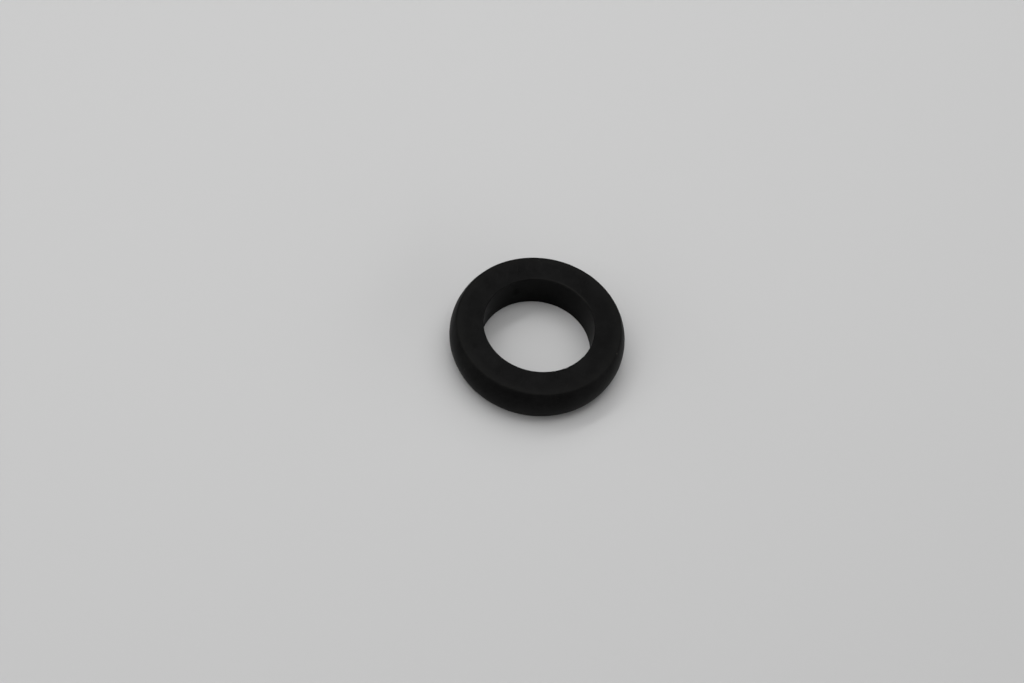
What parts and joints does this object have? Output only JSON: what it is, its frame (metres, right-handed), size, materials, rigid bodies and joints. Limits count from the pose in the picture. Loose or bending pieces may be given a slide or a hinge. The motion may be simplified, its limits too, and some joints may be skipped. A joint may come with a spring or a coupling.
{
  "type": "rubber seal ring",
  "caption": "Black rubber sealing ring with flat sealing faces, a straight bore and a crowned outer side; it grips a spigot and is squeezed between flat faces to stop leaks.",
  "frame": {"origin": "centre of the lower sealing face, on the bore's axis", "axes": "+Z along the bore's axis, from the lower sealing face to the upper one; X and Y are any two directions across the ring, which is round"},
  "size_m": [0.03, 0.03, 0.0068],
  "materials": {
    "black_rubber": "matt moulded black rubber, lightly worn, with a little dust"
  },
  "bodies": {
    "root": {"seal_ring": "black_rubber"}
  },
  "joints": []
}
